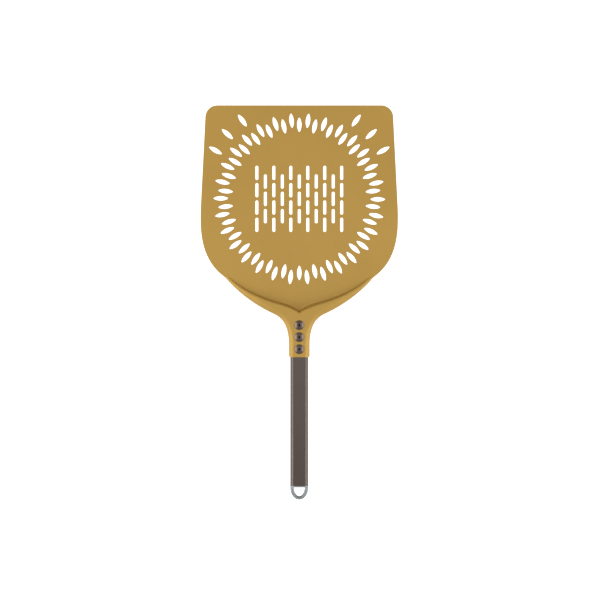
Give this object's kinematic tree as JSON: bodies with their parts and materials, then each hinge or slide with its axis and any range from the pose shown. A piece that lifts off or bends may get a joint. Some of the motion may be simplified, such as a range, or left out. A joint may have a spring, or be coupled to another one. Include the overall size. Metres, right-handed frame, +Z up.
{
  "type": "pizza peel",
  "caption": "Perforated gold-coloured metal pizza peel: flat blade with raised shoulders and a riveted neck on a short bronze-coloured tube with a hanging loop.",
  "frame": {"origin": "middle of the overall width and length, at the plane of the blade's underside", "axes": "+Y towards the blade's front edge, -Y along the handle to the hanging loop, +X to the right seen from above, +Z up out of the blade's top face"},
  "size_m": [0.3306, 0.6582, 0.023],
  "materials": {
    "gold_anodised": "satin gold hard anodised sheet",
    "bronze_anodised": "satin dark bronze anodised extrusion",
    "rivet_bronze": "semi-gloss bronze anodised",
    "mandrel_steel": "dull broken steel",
    "cap_grey": "satin grey cast metal"
  },
  "bodies": {
    "root": {"head": "gold_anodised", "handle_tube": "bronze_anodised", "rivet_front": "rivet_bronze", "rivet_middle": "rivet_bronze", "rivet_rear": "rivet_bronze", "mandrel_front": "mandrel_steel", "mandrel_middle": "mandrel_steel", "mandrel_rear": "mandrel_steel", "end_cap": "cap_grey"}
  },
  "joints": []
}
